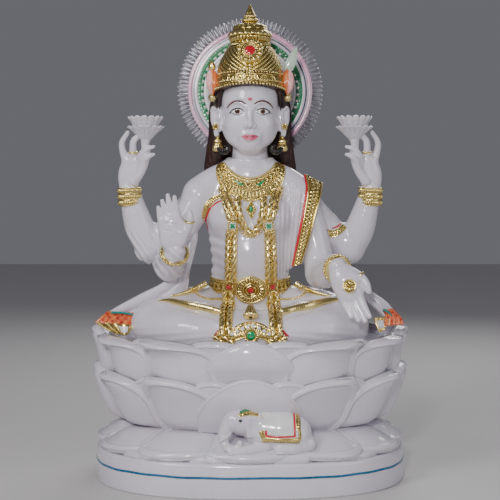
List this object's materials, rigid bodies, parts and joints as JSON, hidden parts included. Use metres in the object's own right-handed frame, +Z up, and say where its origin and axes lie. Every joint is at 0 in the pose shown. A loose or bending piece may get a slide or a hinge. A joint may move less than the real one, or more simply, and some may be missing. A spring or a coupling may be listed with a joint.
{
  "type": "seated deity statue",
  "caption": "Four-armed seated deity statue in polished white marble with gilded jewellery, a pleated halo and a tiered lotus throne on an oval plinth.",
  "frame": {"origin": "centre of the plinth's underside, on the floor that it stands on", "axes": "+Z up to the crown's tip, the figure faces -Y, +X towards the figure's own left hand"},
  "size_m": [0.6194, 0.4656, 0.914],
  "materials": {
    "marble": "white marble, machine polished and waxed",
    "gold_leaf": "marble relief built up in gesso and covered with burnished gold leaf",
    "hair_paint": "marble painted dark brown, satin",
    "red_gem": "faceted red glass stone",
    "green_enamel": "marble painted green and white, gloss",
    "orange_paint": "marble painted orange and red with gold lines, gloss",
    "steel": "stainless rod, hidden in the blocks"
  },
  "bodies": {
    "root": {"plinth": "marble", "base_lotus": "marble", "lotus_core": "marble", "lower_petal_ring": "marble", "upper_petal_ring": "marble", "elephant_slab": "marble", "elephant": "marble", "right_leg": "marble", "left_leg": "marble", "torso": "marble", "head": "marble", "halo_disc": "marble", "halo_fringe": "marble", "scarf_right": "marble", "scarf_left": "marble", "elephant_blanket": "gold_leaf", "hair": "hair_paint", "crown_band": "gold_leaf", "crown_dome": "gold_leaf", "crown_tier": "gold_leaf", "crown_finial": "gold_leaf", "crown_medallion": "gold_leaf", "earring_right": "gold_leaf", "earring_left": "gold_leaf", "palm_coin": "gold_leaf", "collar_necklace": "gold_leaf", "short_garland": "gold_leaf", "garland_clasp": "gold_leaf", "belt": "gold_leaf", "belt_medallion": "gold_leaf", "sari_border": "gold_leaf", "crown_gem": "red_gem", "crown_flower_right": "orange_paint", "crown_flower_left": "orange_paint", "halo_bead_ring": "green_enamel", "rear_right_upper_arm": "marble", "rear_right_forearm": "marble", "rear_right_hand": "marble", "right_lotus_flower": "marble", "front_right_upper_arm": "marble", "front_right_forearm": "marble", "front_right_hand": "marble", "rear_right_bracelet": "gold_leaf", "front_right_bracelet": "gold_leaf", "long_garland_right": "gold_leaf", "rear_left_upper_arm": "marble", "rear_left_forearm": "marble", "rear_left_hand": "marble", "left_lotus_flower": "marble", "front_left_upper_arm": "marble", "front_left_forearm": "marble", "front_left_hand": "marble", "rear_left_bracelet": "gold_leaf", "front_left_bracelet": "gold_leaf", "long_garland_left": "gold_leaf", "scarf_right_end": "orange_paint", "scarf_left_end": "orange_paint", "halo_dowel": "steel", "figure_dowel": "steel", "throne_dowel": "steel"}
  },
  "joints": []
}
